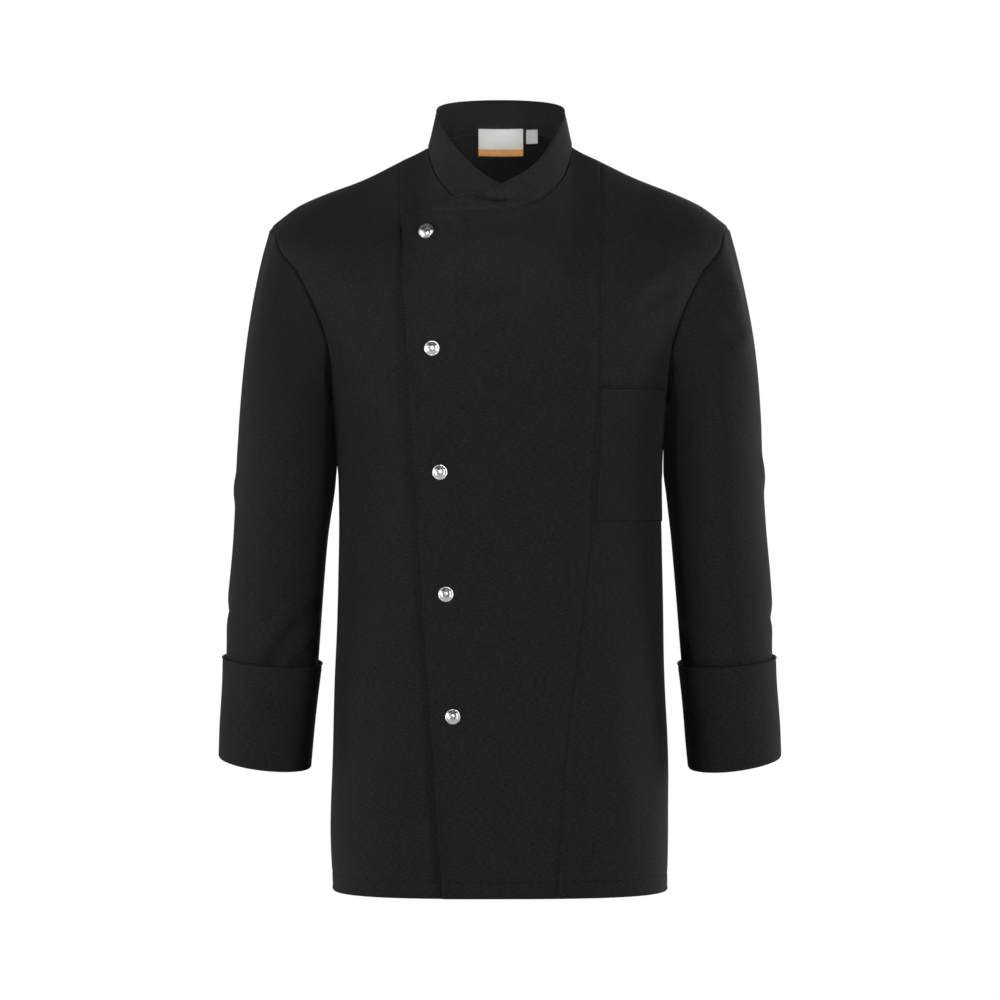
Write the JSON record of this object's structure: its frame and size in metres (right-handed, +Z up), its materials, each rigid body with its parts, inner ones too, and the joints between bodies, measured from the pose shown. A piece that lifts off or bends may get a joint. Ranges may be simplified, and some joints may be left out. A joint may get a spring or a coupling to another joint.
{
  "type": "chef jacket",
  "caption": "Long-sleeved wrap-over chef jacket with crossed stand collar, press studs, turned-back cuffs and a chest pocket, hollow as worn.",
  "frame": {"origin": "midway between the two neck points of the shoulder seams, where the wearer's shoulders carry the jacket", "axes": "+Z up, +X to the wearer's left, -Y to the wearer's front"},
  "size_m": [0.5792, 0.2645, 0.8149],
  "materials": {
    "cloth": "matt black polyester-cotton twill",
    "label": "white woven tape with a plain orange band",
    "stud_metal": "polished domed metal"
  },
  "bodies": {
    "root": {"front_left": "cloth", "side_front_left": "cloth", "back_left": "cloth", "back_right": "cloth", "side_front_right": "cloth", "front_right": "cloth", "collar": "cloth", "sleeve_left": "cloth", "sleeve_right": "cloth", "cuff_left": "cloth", "cuff_right": "cloth", "chest_pocket": "cloth", "neck_label": "label", "size_tag": "label", "stud_1": "stud_metal", "stud_2": "stud_metal", "stud_3": "stud_metal", "stud_4": "stud_metal", "stud_5": "stud_metal"}
  },
  "joints": []
}
